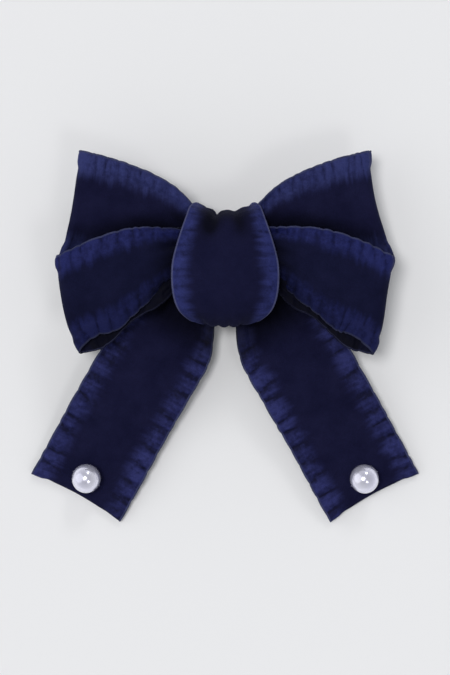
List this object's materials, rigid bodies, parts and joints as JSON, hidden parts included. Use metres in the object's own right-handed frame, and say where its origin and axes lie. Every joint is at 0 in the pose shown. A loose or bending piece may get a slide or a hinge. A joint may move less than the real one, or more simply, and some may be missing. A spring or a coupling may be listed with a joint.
{
  "type": "hair bow",
  "caption": "Velvet ribbon hair bow with frilled edges, two pairs of loops, two tails with pearls and a spring clip behind.",
  "frame": {"origin": "on the flat underside of the clip's lower jaw, below the middle of the knot", "axes": "+Z out of the bow's front, +Y to the bow's top (away from the tails), +X to the bow's right seen from the front"},
  "size_m": [0.1016, 0.0971, 0.0258],
  "materials": {
    "navy_velvet": "velvet",
    "navy_band": "velvet",
    "navy_thread": "thread",
    "pearl": "pearlescent",
    "white_thread": "thread",
    "clip_steel": "plated",
    "pin_steel": "plated",
    "spring_steel": "plain"
  },
  "bodies": {
    "bow": {"upper_loop_ribbon": "navy_velvet", "lower_loop_ribbon": "navy_velvet", "tail_left": "navy_velvet", "tail_right": "navy_velvet", "knot_band": "navy_band", "binding_thread": "navy_thread", "pearl_left": "pearl", "pearl_right": "pearl", "pearl_thread_left": "white_thread", "pearl_thread_right": "white_thread", "clip_upper_jaw": "clip_steel", "hinge_pin": "pin_steel", "torsion_spring": "spring_steel"},
    "lower_jaw": {"clip_lower_jaw": "clip_steel"}
  },
  "joints": [
    {"name": "clip_hinge", "type": "hinge", "parent": "bow", "child": "lower_jaw", "pos_m": [0.018, 0, 0.0034], "axis": [0, -1, 0], "range_deg": [0, 32], "stiffness_Nm_per_rad": 0.058, "springref_deg": -20.05, "deforming": ["torsion_spring"]}
  ]
}
